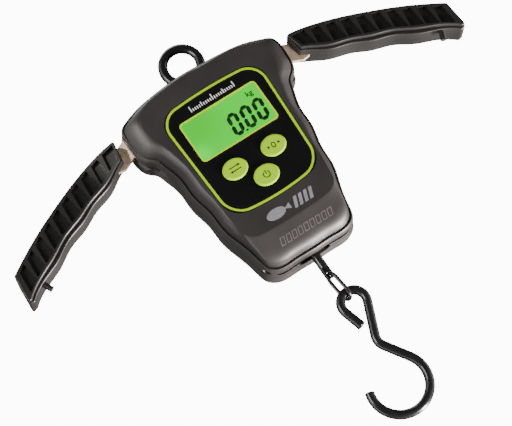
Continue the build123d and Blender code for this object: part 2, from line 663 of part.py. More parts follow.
# ---------------------------------------------------------------- batteries and leads
def battery_tray():
    """Two wells for the cells, with a channel between them for the load stud."""
    tray = box(-20.6, 20.6, 0.5, 12.0, TRAY_LOW, TRAY_TOP)
    tray = chamfer(tray.edges().filter_by(Axis.X).group_by(Axis.Z)[0].sort_by(Axis.Y)[-1], 2.4)
    for side in (-1, 1):
        tray -= box(side * (BATTERY_X - 5.7), side * (BATTERY_X + 5.7), 0.8, 13, TRAY_LOW + 1, TRAY_TOP - 1)
    return tray - box(-3.6, 3.6, -1, 4.2, -124, -70) - box(-3.6, 3.6, 6.0, 13, -124, -70)


def batteries():
    cells = []
    for side in (-1, 1):
        top = BATTERY_TOP - 0.5
        low = top - CELL_LEN + 1.4
        nub_end = 1 if side > 0 else -1
        can = rod_z(side * BATTERY_X, BATTERY_Y, CELL_R, low, top)
        nub_z = top if nub_end > 0 else low
        can += rod_z(side * BATTERY_X, BATTERY_Y, 1.9, nub_z, nub_z + nub_end * 0.6)
        cells.append(can)
    return Compound(cells)


def battery_contacts():
    """Plated spring steel plates at both ends of each well."""
    plates = []
    for side in (-1, 1):
        x = side * BATTERY_X
        plates.append(box(x - 4.2, x + 4.2, 2.0, 10.4, TRAY_TOP - 1.05, TRAY_TOP - 1.4))
        plates.append(box(x - 4.2, x + 4.2, 2.0, 9.4, TRAY_LOW + 1.05, TRAY_LOW + 1.4))
    return Compound(plates)


def battery_cover():
    rear = CASE_REAR_Y - 0.02
    cover = box(-COVER_HALF_W, COVER_HALF_W, rear - COVER_THICK, rear, COVER_LOW, COVER_TOP)
    cover = fillet(cover.edges().filter_by(Axis.Y).group_by(Axis.Z)[-1], 2.0)
    cover = fillet(cover.edges().filter_by(Axis.X).sort_by(Axis.Z)[:2].sort_by(Axis.Y)[-1], 1.4)
    cover += box(-COVER_HALF_W - 1.1, COVER_HALF_W + 1.1, 13.6, 14.5, COVER_LOW + 1.5, COVER_TOP - 2.2)
    for i in range(5):
        z = COVER_TOP - 6 - 2.0 * i
        cover -= box(-8 + i, 8 - i, rear - 0.6, rear + 1, z - 0.45, z + 0.45)
    return cover


def lead(points, radius, bends):
    """A sleeved lead: straight runs joined by tangent arcs."""
    path = FilletPolyline(*points, radius=bends)
    start = Plane(origin=path @ 0, z_dir=path % 0)
    return sweep(start * Circle(radius), path=path)


def cell_lead():
    """From the load cell's side to the board, in the room beside the cell."""
    rear = BOARD_FRONT_Y + BOARD_THICK
    return lead([(-18.05, 0, -58), (-23.5, 0, -58), (-23.5, rear + 0.05, -58)], 0.8, 2.4)


def battery_lead():
    rear = BOARD_FRONT_Y + BOARD_THICK
    return lead([(20.65, 3.0, -82), (24.2, 3.0, -82), (24.2, rear + 0.05, -82)], 0.8, 2.4)


# ---------------------------------------------------------------- build
def build():
    openings = case_openings()
    save(front_shell(openings), "front_shell")
    save(rear_shell(openings), "rear_shell")
    save(case_screws(), "case_screws")
    save(front_panel(), "front_panel")
    save(display_window(), "display_window")
    save(lcd_glass(), "lcd_glass")
    save(backlight(), "backlight")
    save(contact_strips(), "contact_strips")
    save(button_cap(*UNIT_BUTTON), "unit_button")
    save(button_cap(*TARE_BUTTON), "tare_button")
    save(button_cap(*POWER_BUTTON), "power_button")
    save(circuit_board(), "circuit_board")
    save(board_screws(), "board_screws")
    save(switches(), "key_switches")
    save(board_parts(), "board_parts")
    save(buzzer(), "buzzer")
    save(hang_ring(), "hang_ring")
    save(ring_nuts(), "ring_nuts")
    save(yoke(), "yoke")
    save(hinge_bushes(), "hinge_bushes")
    save(load_cell(), "load_cell")
    save(cell_potting(), "cell_potting")
    save(load_stud(), "load_stud")
    save(stud_nut(), "stud_nut")
    save(chain_link(), "chain_link")
    save(load_hook(), "load_hook")
    save(battery_tray(), "battery_tray")
    save(batteries(), "batteries")
    save(battery_contacts(), "battery_contacts")
    save(battery_cover(), "battery_cover")
    save(cell_lead(), "cell_lead")
    save(battery_lead(), "battery_lead")
    front, rear, arm, peg, screws = handle_front(), handle_rear(), arm_plate(), latch_peg(), handle_screws()
    for side, name, droop in ((-1, "left", LEFT_DROOP), (1, "right", RIGHT_DROOP)):
        save(at_pin(front, droop, side), f"{name}_handle_front")
        save(at_pin(rear, droop, side), f"{name}_handle_rear")
        save(at_pin(arm, droop, side), f"{name}_arm_plate")
        save(at_pin(peg, droop, side), f"{name}_latch_peg")
        save(at_pin(screws, droop, side), f"{name}_handle_screws")
        save(hinge_pin(side), f"{name}_hinge_pin")


build()
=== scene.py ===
# %% [markdown]
# # A digital hanging fish scale
# The CAD model already holds every moulded and metal part at its true size. This lesson gives each
# part its finish, adds what is printed on the scale and what its display shows, then sets the light
# and the camera. Everything is in metres: the load hangs along Z and the display faces -Y.

# %% Load the frame
import json

import bpy
from math import cos, radians, sin
from mathutils import Matrix, Vector


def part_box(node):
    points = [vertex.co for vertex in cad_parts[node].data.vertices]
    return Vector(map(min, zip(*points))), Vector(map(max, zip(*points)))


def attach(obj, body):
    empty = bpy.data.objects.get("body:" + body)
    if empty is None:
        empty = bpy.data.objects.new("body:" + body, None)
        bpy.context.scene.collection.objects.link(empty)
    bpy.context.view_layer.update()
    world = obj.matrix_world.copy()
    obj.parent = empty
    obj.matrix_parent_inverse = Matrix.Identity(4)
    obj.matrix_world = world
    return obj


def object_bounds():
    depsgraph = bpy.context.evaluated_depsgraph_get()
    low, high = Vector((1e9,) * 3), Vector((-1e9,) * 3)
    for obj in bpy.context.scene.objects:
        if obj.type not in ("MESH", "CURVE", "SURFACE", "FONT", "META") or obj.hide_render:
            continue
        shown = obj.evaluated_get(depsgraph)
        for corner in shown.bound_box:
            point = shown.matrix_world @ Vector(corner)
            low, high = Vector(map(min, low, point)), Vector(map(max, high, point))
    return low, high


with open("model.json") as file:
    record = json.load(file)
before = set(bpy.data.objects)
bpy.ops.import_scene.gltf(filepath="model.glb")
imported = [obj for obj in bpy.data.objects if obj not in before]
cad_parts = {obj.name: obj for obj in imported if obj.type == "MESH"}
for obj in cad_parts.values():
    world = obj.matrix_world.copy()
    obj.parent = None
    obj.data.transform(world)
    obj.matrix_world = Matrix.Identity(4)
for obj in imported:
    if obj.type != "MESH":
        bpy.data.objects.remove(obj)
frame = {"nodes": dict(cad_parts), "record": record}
size_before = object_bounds()
nodes = frame["nodes"]
MM = 0.001
print(len(nodes), "nodes loaded, size", size_before)

# %% [markdown]
# ## Landmarks
# Prints and figures have to sit exactly on the parts that carry them. Their places are read from the
# CAD parts themselves, so a change in the model carries through to the artwork.

# %% Landmarks


def middle(node):
    """Centre of a CAD part's box."""
    low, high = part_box(node)
    return (Vector(low) + Vector(high)) / 2


window_low, window_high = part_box("display_window")
PANEL_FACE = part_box("front_panel")[0][1]
DISPLAY = middle("display_window")
WINDOW_W = window_high[0] - window_low[0]
WINDOW_H = window_high[2] - window_low[2]
GLASS_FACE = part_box("lcd_glass")[0][1]
KEY_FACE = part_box("unit_button")[0][1]
print("panel face", PANEL_FACE, "display centre", DISPLAY, "window", WINDOW_W, WINDOW_H)

# %% [markdown]
# ## Helpers for node trees
# Every finish below is built from nodes. Three short helpers keep those cells readable: one adds a
# node and sets its values, one adds a sum, and one starts a group whose sockets have names.

# %% Node helpers


def wire(tree, value, socket):
    """Link a socket to another, or give it a plain value."""
    if isinstance(value, bpy.types.NodeSocket):
        tree.links.new(value, socket)
    else:
        socket.default_value = value


def add_node(tree, kind, inputs=None, **settings):
    node = tree.nodes.new("ShaderNode" + kind)
    for name, value in settings.items():
        setattr(node, name, value)
    for name, value in (inputs or {}).items():
        wire(tree, value, node.inputs[name])
    return node


def sum_of(tree, operation, *values):
    """One Math node, as a socket."""
    node = tree.nodes.new("ShaderNodeMath")
    node.operation = operation
    for value, socket in zip(values, node.inputs):
        wire(tree, value, socket)
    return node.outputs[0]


def new_group(name, inputs, outputs):
    """A node group with named sockets: inputs as name -> value, outputs as names."""
    group = bpy.data.node_groups.new(name, "ShaderNodeTree")
    for label, value in inputs.items():
        kind = "NodeSocketVector" if value is None else "NodeSocketFloat"
        socket = group.interface.new_socket(label, in_out="INPUT", socket_type=kind)
        if value is not None:
            socket.default_value = value
    for label in outputs:
        group.interface.new_socket(label, in_out="OUTPUT", socket_type="NodeSocketFloat")
    return group, group.nodes.new("NodeGroupInput"), group.nodes.new("NodeGroupOutput")


def use_group(tree, group, **values):
    """Place a group in a material; underscores in the names stand for spaces."""
    node = tree.nodes.new("ShaderNodeGroup")
    node.node_tree = group
    for name, value in values.items():
        wire(tree, value, node.inputs[name.replace("_", " ")])
    return node


# %% [markdown]
# ## Shared effect: moulded grain
# Injection-moulded cases are made in spark-eroded tools, which leave an even, very fine pebble grain,
# and the skin is never equally shiny all over. One group gives both: a fine height for the bump and
# a slow patch that other sockets turn into small changes of colour and roughness.

# %% Moulded grain
GRAIN_INPUTS = {"Grain per metre": 3000.0, "Patches per metre": 45.0}
grain, entry, leave = new_group("Moulded grain", GRAIN_INPUTS, ["Height", "Patch"])
per_metre, patches = entry.outputs["Grain per metre"], entry.outputs["Patches per metre"]
place = add_node(grain, "TexCoord").outputs["Object"]
pebble = add_node(grain, "TexNoise", {"Vector": place, "Scale": per_metre, "Detail": 2.0})
cells = add_node(grain, "TexVoronoi", {"Vector": place, "Scale": per_metre})
slow = add_node(grain, "TexNoise", {"Vector": place, "Scale": patches, "Detail": 4.0})
height = sum_of(grain, "MULTIPLY_ADD", cells.outputs["Distance"], 0.5, pebble.outputs["Fac"])
grain.links.new(height, leave.inputs["Height"])
grain.links.new(slow.outputs["Fac"], leave.inputs["Patch"])
print(grain.name, len(grain.nodes), "nodes")

# %% [markdown]
# ## Shared effect: drawn metal
# Wire and strip keep faint lines from the die or the rolling mill. Noise that is squeezed across
# the line and stretched along it gives those lines; a slower noise gives cloudy changes in plating.

# %% Drawn metal
DRAWN_INPUTS = {"Along": None, "Patches per metre": 160.0}
drawn, entry, leave = new_group("Drawn metal", DRAWN_INPUTS, ["Lines", "Cloud"])
patches = entry.outputs["Patches per metre"]
place = add_node(drawn, "TexCoord").outputs["Object"]
stretch = add_node(drawn, "VectorMath", operation="MULTIPLY")
drawn.links.new(place, stretch.inputs[0])
drawn.links.new(entry.outputs["Along"], stretch.inputs[1])
lines = add_node(drawn, "TexNoise", {"Vector": stretch.outputs[0], "Scale": 1.0, "Detail": 3.0})
cloud = add_node(drawn, "TexNoise", {"Vector": place, "Scale": patches, "Detail": 5.0})
drawn.links.new(lines.outputs["Fac"], leave.inputs["Lines"])
drawn.links.new(cloud.outputs["Fac"], leave.inputs["Cloud"])
print(drawn.name, len(drawn.nodes), "nodes")

# %% [markdown]
# ## Shared effect: distance to a printed outline
# The lime lines are screen printed. A print has no thickness worth modelling, so it is a mask: the
# group works out how far a point is from the edge of a rounded, slightly crowned trapezium, and
# whatever lies within half a line's width of that edge is ink. A picture would blur; this stays sharp.

# %% Distance to an outline
OUTLINE_SIZES = ("Top", "Low", "Half top", "Half low", "Crown top", "Crown low", "Corner")
outline, entry, leave = new_group("Outline distance", dict.fromkeys(OUTLINE_SIZES, 0.0), ["Distance"])
given = entry.outputs
place = add_node(outline, "TexCoord").outputs["Object"]
x, _, z = add_node(outline, "SeparateXYZ", {"Vector": place}).outputs


def find(operation, *values):
    """One step of the outline's arithmetic."""
    return sum_of(outline, operation, *values)


x = find("ABSOLUTE", x)


def crown(height, half):
    """How far the crowned edge stands out at x: all of it in the middle, none at the corner."""
    ratio = find("DIVIDE", x, half)
    return find("MULTIPLY", height, find("SUBTRACT", 1.0, find("MULTIPLY", ratio, ratio)))


top_edge = find("ADD", given["Top"], crown(given["Crown top"], given["Half top"]))
low_edge = find("SUBTRACT", given["Low"], crown(given["Crown low"], given["Half low"]))
above, below = find("SUBTRACT", z, top_edge), find("SUBTRACT", low_edge, z)
share = find("DIVIDE", find("SUBTRACT", given["Top"], z), find("SUBTRACT", given["Top"], given["Low"]))
taper = find("SUBTRACT", given["Half low"], given["Half top"])
beside = find("SUBTRACT", x, find("MULTIPLY_ADD", share, taper, given["Half top"]))
across = find("ADD", find("MAXIMUM", above, below), given["Corner"])
along = find("ADD", beside, given["Corner"])
out_x, out_z = find("MAXIMUM", along, 0.0), find("MAXIMUM", across, 0.0)
squares = find("ADD", find("MULTIPLY", out_x, out_x), find("MULTIPLY", out_z, out_z))
inside = find("MINIMUM", find("MAXIMUM", along, across), 0.0)
distance = find("SUBTRACT", find("ADD", find("SQRT", squares), inside), given["Corner"])
outline.links.new(distance, leave.inputs["Distance"])
print(outline.name, len(outline.nodes), "nodes")

# %% [markdown]
# ## Helpers for materials
# A finish starts as one Principled shader with its plain numbers. A mask is then spread between two
# values, a dull and a shiny one or a dark and a light one, and a height is turned into a bump.

# %% Material helpers
materials = {}


def new_material(name, **values):
    """A Principled material; underscores in the names stand for spaces."""
    made = bpy.data.materials.new(name)
    made.use_nodes = True
    shader = made.node_tree.nodes["Principled BSDF"]
    for label, value in values.items():
        shader.inputs[label.replace("_", " ")].default_value = value
    materials[name] = made
    return made.node_tree, shader


def spread(tree, mask, low, high, from_low=0.3, from_high=0.7):
    """A mask spread between two numbers."""
    inputs = {"Value": mask, "From Min": from_low, "From Max": from_high, "To Min": low, "To Max": high}
    return add_node(tree, "MapRange", inputs).outputs[0]


def between(tree, mask, first, second):
    """A mask turned into a blend of two colours."""
    node = add_node(tree, "Mix", data_type="RGBA")
    wire(tree, mask, node.inputs["Factor"])
    colour_a, colour_b = [s for s in node.inputs if s.type == "RGBA"]
    wire(tree, first, colour_a)
    wire(tree, second, colour_b)
    return [s for s in node.outputs if s.type == "RGBA"][0]


def bump(tree, shader, height, depth, strength):
    """Depth is in metres."""
    node = add_node(tree, "Bump", {"Height": height, "Distance": depth, "Strength": strength})
    tree.links.new(node.outputs["Normal"], shader.inputs["Normal"])


def ink(value):
    """A colour with full alpha."""
    return (*value, 1.0)


def moulded(name, dark, light, rough, grain_depth=0.02, grain_per_metre=3000.0, patches=45.0, **values):
    """A moulded plastic or rubber: two near tones, two near roughnesses, fine grain."""
    tree, shader = new_material(name, **values)
    effect = use_group(tree, grain, Grain_per_metre=grain_per_metre, Patches_per_metre=patches)
    patch = effect.outputs["Patch"]
    tone = between(tree, spread(tree, patch, 0, 1), ink(dark), ink(light))
    tree.links.new(tone, shader.inputs["Base Color"])
    tree.links.new(spread(tree, patch, rough - 0.03, rough + 0.04), shader.inputs["Roughness"])
    bump(tree, shader, effect.outputs["Height"], grain_depth * MM, 0.35)
    return tree, shader


def metal(name, dark, light, rough, along=(900.0, 900.0, 30.0), patches=160.0, **values):
    """A metal: drawn lines in the roughness and the bump, clouds in the colour."""
    tree, shader = new_material(name, **{"Metallic": 1.0, **values})
    effect = use_group(tree, drawn, Along=along, Patches_per_metre=patches)
    lines = effect.outputs["Lines"]
    tone = between(tree, spread(tree, effect.outputs["Cloud"], 0, 1), ink(dark), ink(light))
    tree.links.new(tone, shader.inputs["Base Color"])
    tree.links.new(spread(tree, lines, rough - 0.05, rough + 0.08), shader.inputs["Roughness"])
    bump(tree, shader, lines, 0.01 * MM, 0.25)
    return tree, shader


# %% [markdown]
# ## Case and grips
# The case is satin charcoal ABS, a warm grey-black that lifts to brown-grey wherever it catches light.
# The grips are the same family but deeper and a little glossier, as a harder nylon would be. The
# inner mouldings never meet light, so they get the same group with plain values.

# %% Case and grip plastics
moulded("case_plastic", (0.026, 0.0235, 0.023), (0.033, 0.030, 0.029), 0.46)
moulded("grip_plastic", (0.013, 0.0125, 0.012), (0.018, 0.017, 0.0165), 0.38, grain_depth=0.015)
moulded("inner_plastic", (0.02, 0.02, 0.02), (0.03, 0.03, 0.03), 0.5)
moulded("peg_rubber", (0.008, 0.008, 0.008), (0.013, 0.013, 0.013), 0.55)
moulded("nylon", (0.62, 0.60, 0.54), (0.74, 0.72, 0.67), 0.45, Subsurface_Weight=0.1)
moulded("silicone", (0.42, 0.42, 0.40), (0.52, 0.52, 0.50), 0.6)
moulded("chip_black", (0.015, 0.015, 0.016), (0.025, 0.025, 0.026), 0.5)
moulded("lead_sleeve", (0.03, 0.03, 0.032), (0.045, 0.045, 0.048), 0.5)
print(sorted(materials))

# %% [markdown]
# ## Lime keys
# The keys are lime ABS with a softer gloss than the case. A wide patch keeps the tone from looking flat,
# and a little light passes under the skin, which is what makes a bright plastic look bright.

# %% Key plastic
moulded("key_lime", (0.40, 0.76, 0.0), (0.45, 0.82, 0.0), 0.45, grain_depth=0.008, patches=120.0,
        Subsurface_Weight=0.08, Subsurface_Scale=0.002, Specular_IOR_Level=0.2)
print(materials["key_lime"].name)

# %% [markdown]
# ## Display panel
# A black polished sheet with one lime line near its edge and a brighter one round the window. Both
# lines come from the outline group: the first follows the sheet's own trapezium, a little inside its
# edge, the second is all that lies within the outer edge of the window's frame.

# %% Panel with its printed lines
BORDER = {"Top": -26.6, "Low": -90.7, "Half top": 29.9, "Half low": 27.0,
          "Crown top": 1.9, "Crown low": 2.8, "Corner": 10.0}
BORDER_LINE = 1.3 * MM
FRAME_LINE = 0.9 * MM
LIME_BORDER = ink((0.40, 0.72, 0.0))
LIME_FRAME = ink((0.55, 0.90, 0.0))
INK_EDGE = 0.04 * MM


def printed(tree, distance, half_width):
    """1 within half a line's width of the outline, 0 outside, with a hair of softness."""
    off = sum_of(tree, "ABSOLUTE", distance)
    return spread(tree, off, 1.0, 0.0, half_width - INK_EDGE, half_width + INK_EDGE)


tree, shader = new_material("panel_black", Roughness=0.12, Specular_IOR_Level=0.22)
border = use_group(tree, outline, **{name.replace(" ", "_"): value * MM for name, value in BORDER.items()})
border_ink = printed(tree, border.outputs["Distance"], BORDER_LINE / 2)
half_w, half_h = WINDOW_W / 2 + FRAME_LINE, WINDOW_H / 2 + FRAME_LINE
window = use_group(tree, outline, Top=DISPLAY.z + half_h, Low=DISPLAY.z - half_h,
                   Half_top=half_w, Half_low=half_w, Corner=2.4 * MM)
frame_ink = spread(tree, window.outputs["Distance"], 1.0, 0.0, -INK_EDGE, INK_EDGE)
patch = use_group(tree, grain, Grain_per_metre=500.0, Patches_per_metre=60.0).outputs["Patch"]
PANEL_TONES = ink((0.0050, 0.0050, 0.0055)), ink((0.0070, 0.0068, 0.0075))
black = between(tree, spread(tree, patch, 0, 1), *PANEL_TONES)
colour = between(tree, frame_ink, between(tree, border_ink, black, LIME_BORDER), LIME_FRAME)
tree.links.new(colour, shader.inputs["Base Color"])
any_ink = sum_of(tree, "MAXIMUM", border_ink, frame_ink)
tree.links.new(spread(tree, any_ink, 0.13, 0.34, 0, 1), shader.inputs["Roughness"])
bump(tree, shader, any_ink, 0.02 * MM, 0.3)
print("border", BORDER, "frame", half_w, half_h)

# %% [markdown]
# ## Display
# Behind the clear window lies a liquid crystal glass lit from one side, so its green is not even:
# it glows near its lower left corner, where the lamp sits, and dulls towards the upper left. The glow
# is a set of soft round masks on the glass, and it shines, because a lit display shines.

# %% Lit glass


def soft_spot(tree, centre, radius):
    """1 at a point on the display's face, fading to 0 at the radius."""
    place = add_node(tree, "TexCoord").outputs["Object"]
    apart = add_node(tree, "VectorMath", operation="DISTANCE")
    tree.links.new(place, apart.inputs[0])
    apart.inputs[1].default_value = (centre[0] * MM, GLASS_FACE, DISPLAY.z + centre[1] * MM)
    fade = {"Value": apart.outputs["Value"], "From Min": 0.0, "From Max": radius * MM,
            "To Min": 1.0, "To Max": 0.0}
    return add_node(tree, "MapRange", fade, interpolation_type="SMOOTHSTEP").outputs[0]


GREEN = ink((0.008, 0.56, 0.004))
GREEN_WARM = ink((0.020, 0.43, 0.002))
GREEN_SIDE = ink((0.015, 0.58, 0.0))
GREEN_BRIGHT = ink((0.02, 0.85, 0.01))
tree, shader = new_material("lcd", Roughness=0.35, Emission_Strength=2.0)
cloud = use_group(tree, grain, Grain_per_metre=800.0, Patches_per_metre=70.0).outputs["Patch"]
lit = between(tree, sum_of(tree, "MULTIPLY", soft_spot(tree, (-15, 8), 22.0), 0.9), GREEN, GREEN_WARM)
lit = between(tree, sum_of(tree, "MULTIPLY", soft_spot(tree, (24, 4), 20.0), 0.9), lit, GREEN_SIDE)
lit = between(tree, sum_of(tree, "MULTIPLY", soft_spot(tree, (-21, -7.5), 8.0), 0.7), lit, GREEN_BRIGHT)
lit = between(tree, spread(tree, cloud, 0.0, 0.12), lit, ink((0.03, 0.40, 0.02)))
tree.links.new(lit, shader.inputs["Emission Color"])
shader.inputs["Base Color"].default_value = ink((0.01, 0.05, 0.01))
tree.links.new(spread(tree, cloud, 0.30, 0.40), shader.inputs["Roughness"])

CLEAR = ink((0.97, 1.0, 0.97))
tree, shader = new_material("clear_window", Base_Color=CLEAR, Transmission_Weight=1.0, IOR=1.3)
smudge = use_group(tree, grain, Grain_per_metre=900.0, Patches_per_metre=90.0).outputs["Patch"]
tree.links.new(spread(tree, smudge, 0.0, 0.03), shader.inputs["Roughness"])

tree, shader = new_material("light_guide", Base_Color=ink((0.35, 0.8, 0.3)), Emission_Strength=0.4)
glow = between(tree, use_group(tree, grain).outputs["Patch"], GREEN, GREEN_BRIGHT)
tree.links.new(glow, shader.inputs["Emission Color"])
print("display finishes ready")

# %% [markdown]
# ## Metals
# Ring, stud, link and hook are steel with a gloss black plating, which shows dark tones and a sharp
# edge of light. The arm plates are steel strip with a yellow passivation, whose thin film wanders
# between straw, olive and pink. The rest are ordinary workshop metals.

# %% Metals
metal("black_steel", (0.010, 0.010, 0.0105), (0.017, 0.0165, 0.017), 0.26,
      Metallic=0.35, Coat_Weight=0.5, Coat_Roughness=0.12)
tree, shader = metal("passivated_steel", (0.66, 0.50, 0.33), (0.80, 0.65, 0.46), 0.42,
                     along=(60.0, 900.0, 900.0), patches=260.0, Metallic=0.5)
film = use_group(tree, drawn, Along=(500.0, 500.0, 500.0), Patches_per_metre=420.0)
straw = shader.inputs["Base Color"].links[0].from_socket
some = spread(tree, film.outputs["Cloud"], 0.0, 0.6, 0.45, 0.68)
few = spread(tree, film.outputs["Lines"], 0.0, 0.55, 0.48, 0.66)
olive = between(tree, some, straw, ink((0.36, 0.37, 0.20)))
pink = between(tree, few, olive, ink((0.66, 0.47, 0.42)))
tree.links.new(pink, shader.inputs["Base Color"])
metal("zinc_steel", (0.50, 0.51, 0.53), (0.62, 0.63, 0.65), 0.28)
metal("screw_steel", (0.05, 0.05, 0.052), (0.09, 0.09, 0.092), 0.35)
metal("contact_steel", (0.62, 0.61, 0.57), (0.72, 0.71, 0.67), 0.22)
metal("cell_aluminium", (0.66, 0.67, 0.69), (0.76, 0.77, 0.79), 0.34, along=(40.0, 700.0, 700.0))
metal("battery_jacket", (0.03, 0.10, 0.05), (0.05, 0.15, 0.07), 0.25, Metallic=0.3, Coat_Weight=0.6)
tree, shader = moulded("board_green", (0.012, 0.10, 0.035), (0.018, 0.14, 0.05), 0.25, Coat_Weight=0.4)
print(len(materials), "materials")

# %% [markdown]
# ## Give the CAD parts their finishes
# The record names a material slot for every part, so the finishes are handed out from that list and
# no part can be forgotten.

# %% Hand out the finishes
for entry in frame["record"]["subparts"]:
    part = nodes[entry["node"]]
    part.data.materials.clear()
    part.data.materials.append(materials[entry["material_slot"]])

# %% [markdown]
# ## Helpers for printed marks
# Symbols and figures are cut from primitives as if from a thin sheet of ink, a few hundredths of a
# millimetre thick, and laid on the face that carries them. Each helper starts with nothing selected,
# because an operator acts on all that is.

# %% Mark helpers
INK_THICK = 0.04 * MM


def clear_selection():
    if bpy.context.object and bpy.context.object.mode != "OBJECT":
        bpy.ops.object.mode_set(mode="OBJECT")
    bpy.ops.object.select_all(action="DESELECT")


def take(obj):
    """Make one object the only selected and the active one."""
    clear_selection()
    obj.select_set(True)
    bpy.context.view_layer.objects.active = obj
    return obj


def settle(obj):
    """Put the object's place, turn and scale into its mesh."""
    take(obj)
    bpy.ops.object.transform_apply(location=True, rotation=True, scale=True)
    return obj


def edit(obj, chosen, mode="VERT"):
    """Enter edit mode with the chosen vertices, edges or faces selected."""
    take(obj)
    bpy.ops.object.mode_set(mode="EDIT")
    bpy.ops.mesh.select_mode(type=mode)
    bpy.ops.mesh.select_all(action="DESELECT")
    bpy.ops.object.mode_set(mode="OBJECT")
    group = {"VERT": obj.data.vertices, "EDGE": obj.data.edges, "FACE": obj.data.polygons}[mode]
    for item in group:
        item.select = chosen(item)
    bpy.ops.object.mode_set(mode="EDIT")


def leave_edit():
    bpy.ops.object.mode_set(mode="OBJECT")


def bar(width, height, x=0.0, z=0.0, turn=0.0, thick=INK_THICK):
    """A flat bar in the XZ plane, in millimetres, turned about Y in degrees."""
    clear_selection()
    place, turned = (x * MM, 0, z * MM), (0, radians(turn), 0)
    size = (width * MM, thick, height * MM)
    bpy.ops.mesh.primitive_cube_add(size=1, location=place, rotation=turned, scale=size)
    return settle(bpy.context.object)


def upright_edges(obj):
    """The edges of a flat mark that run through its thickness."""
    points = obj.data.vertices
    return lambda e: abs(points[e.vertices[0]].co.y - points[e.vertices[1]].co.y) > INK_THICK / 2


def twin(obj, x, z, turn=0.0):
    """A copy with its own mesh, moved in millimetres and turned about Y in degrees."""
    made = obj.copy()
    made.data = obj.data.copy()
    bpy.context.collection.objects.link(made)
    made.matrix_world = Matrix.Translation((x * MM, 0, z * MM)) @ Matrix.Rotation(radians(turn), 4, "Y")
    return settle(made)


def together(name, parts, finish):
    """Join the parts into one named piece with one finish."""
    take(parts[0])
    for part in parts[1:]:
        part.select_set(True)
    bpy.ops.object.join()
    made = bpy.context.object
    made.name = made.data.name = name
    made.data.materials.clear()
    made.data.materials.append(materials[finish])
    return made


def lay(obj, x, z, face):
    """Move a finished mark to its place, its back just on the face, in metres."""
    obj.location = (x, face - INK_THICK / 2, z)
    return settle(obj)


print("mark helpers ready")

# %% [markdown]
# ## Inks
# Three inks are used outside the panel: white and grey, which are matt and slightly uneven as screen
# ink is, and the near-black of a liquid crystal that is switched on.

# %% Inks
moulded("ink_white", (0.76, 0.76, 0.76), (0.86, 0.86, 0.86), 0.5, grain_depth=0.004, patches=400.0)
moulded("ink_grey", (0.235, 0.235, 0.262), (0.285, 0.285, 0.315), 0.45, grain_depth=0.004, patches=400.0)
moulded("ink_faint", (0.13, 0.12, 0.12), (0.17, 0.16, 0.16), 0.45, grain_depth=0.004, patches=400.0)
moulded("ink_dark", (0.012, 0.02, 0.006), (0.02, 0.03, 0.01), 0.5, grain_depth=0.004, patches=400.0)
moulded("crystal_dark", (0.003, 0.012, 0.004), (0.005, 0.018, 0.006), 0.5, grain_depth=0.004, patches=400.0)
print([name for name in materials if name.startswith("ink")])

# %% [markdown]
# ## The figures on the display
# A seven-segment figure is built from one bar with bevelled ends. The bar is modelled once, then
# copied to the six lit places of a zero, and the zero is copied for the three places of the reading.
# The whole reading leans a few degrees, as such figures do.

# %% Figures
FIGURE_W, FIGURE_H, STROKE = 6.3, 13.2, 2.1
FIGURE_PITCH = 7.7
FIGURE_LOW = -9.5          # from the display's centre to the foot of the figures
FIRST_FIGURE = 1.75        # from the display's centre to the first figure's middle, at its foot
LEAN = radians(5)


def segment(length):
    stroke = bar(STROKE, length)
    edit(stroke, upright_edges(stroke), "EDGE")
    bpy.ops.mesh.bevel(offset=STROKE * MM * 0.46, segments=1, affect="EDGES")
    leave_edit()
    return stroke


def zero():
    """The six lit strokes of a nought, foot at z = 0, centred on x = 0."""
    side_length = (FIGURE_H - STROKE) / 2 - 0.25
    flat_length = FIGURE_W - STROKE - 0.25
    side_x, low_z, top_z = (FIGURE_W - STROKE) / 2, STROKE / 2, FIGURE_H - STROKE / 2
    side, flat = segment(side_length), segment(flat_length)
    strokes = [twin(flat, 0, low_z, 90), twin(flat, 0, top_z, 90)]
    for x in (-side_x, side_x):
        strokes += [twin(side, x, (low_z + FIGURE_H / 2) / 2), twin(side, x, (top_z + FIGURE_H / 2) / 2)]
    for spare in (side, flat):
        bpy.data.objects.remove(spare)
    return strokes


def leaning(obj, angle):
    """Slide each height sideways, as slanted type is made."""
    slide = Matrix.Identity(4)
    slide[0][2] = sin(angle) / cos(angle)
    obj.data.transform(slide)
    return obj


first = together("reading", zero(), "crystal_dark")
figures = [twin(first, FIRST_FIGURE + FIGURE_PITCH * i, 0) for i in range(3)]
bpy.data.objects.remove(first)
point = segment(1.5)
figures.append(twin(point, FIRST_FIGURE + FIGURE_PITCH / 2, 0.6))
bpy.data.objects.remove(point)
reading = leaning(together("reading", figures, "crystal_dark"), LEAN)
lay(reading, DISPLAY.x, DISPLAY.z + FIGURE_LOW * MM, GLASS_FACE)
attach(reading, "case")
print("reading", len(reading.data.polygons), "faces")

# %% [markdown]
# The unit beside the reading is a pair of small letters. A text object is turned into a mesh before
# it is placed, so that its place ends up in the mesh like every other piece's.

# %% Unit
clear_selection()
bpy.ops.object.text_add(rotation=(radians(90), 0, 0))
unit = bpy.context.object
unit.data.body = "kg"
unit.data.size = 4.4 * MM
unit.data.align_x = unit.data.align_y = "CENTER"
unit.data.extrude, unit.data.offset = INK_THICK / 2, 0.09 * MM
bpy.ops.object.convert(target="MESH")
unit = together("unit_mark", [settle(bpy.context.object)], "crystal_dark")
lay(unit, DISPLAY.x + 17.4 * MM, DISPLAY.z + 7.6 * MM, GLASS_FACE)
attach(unit, "case")
print("unit", len(unit.data.vertices), "points")

# %% [markdown]
# ## Scale marks above the display
# A plain row of white ticks, long at the ends and the middle, stands for the range of the scale.

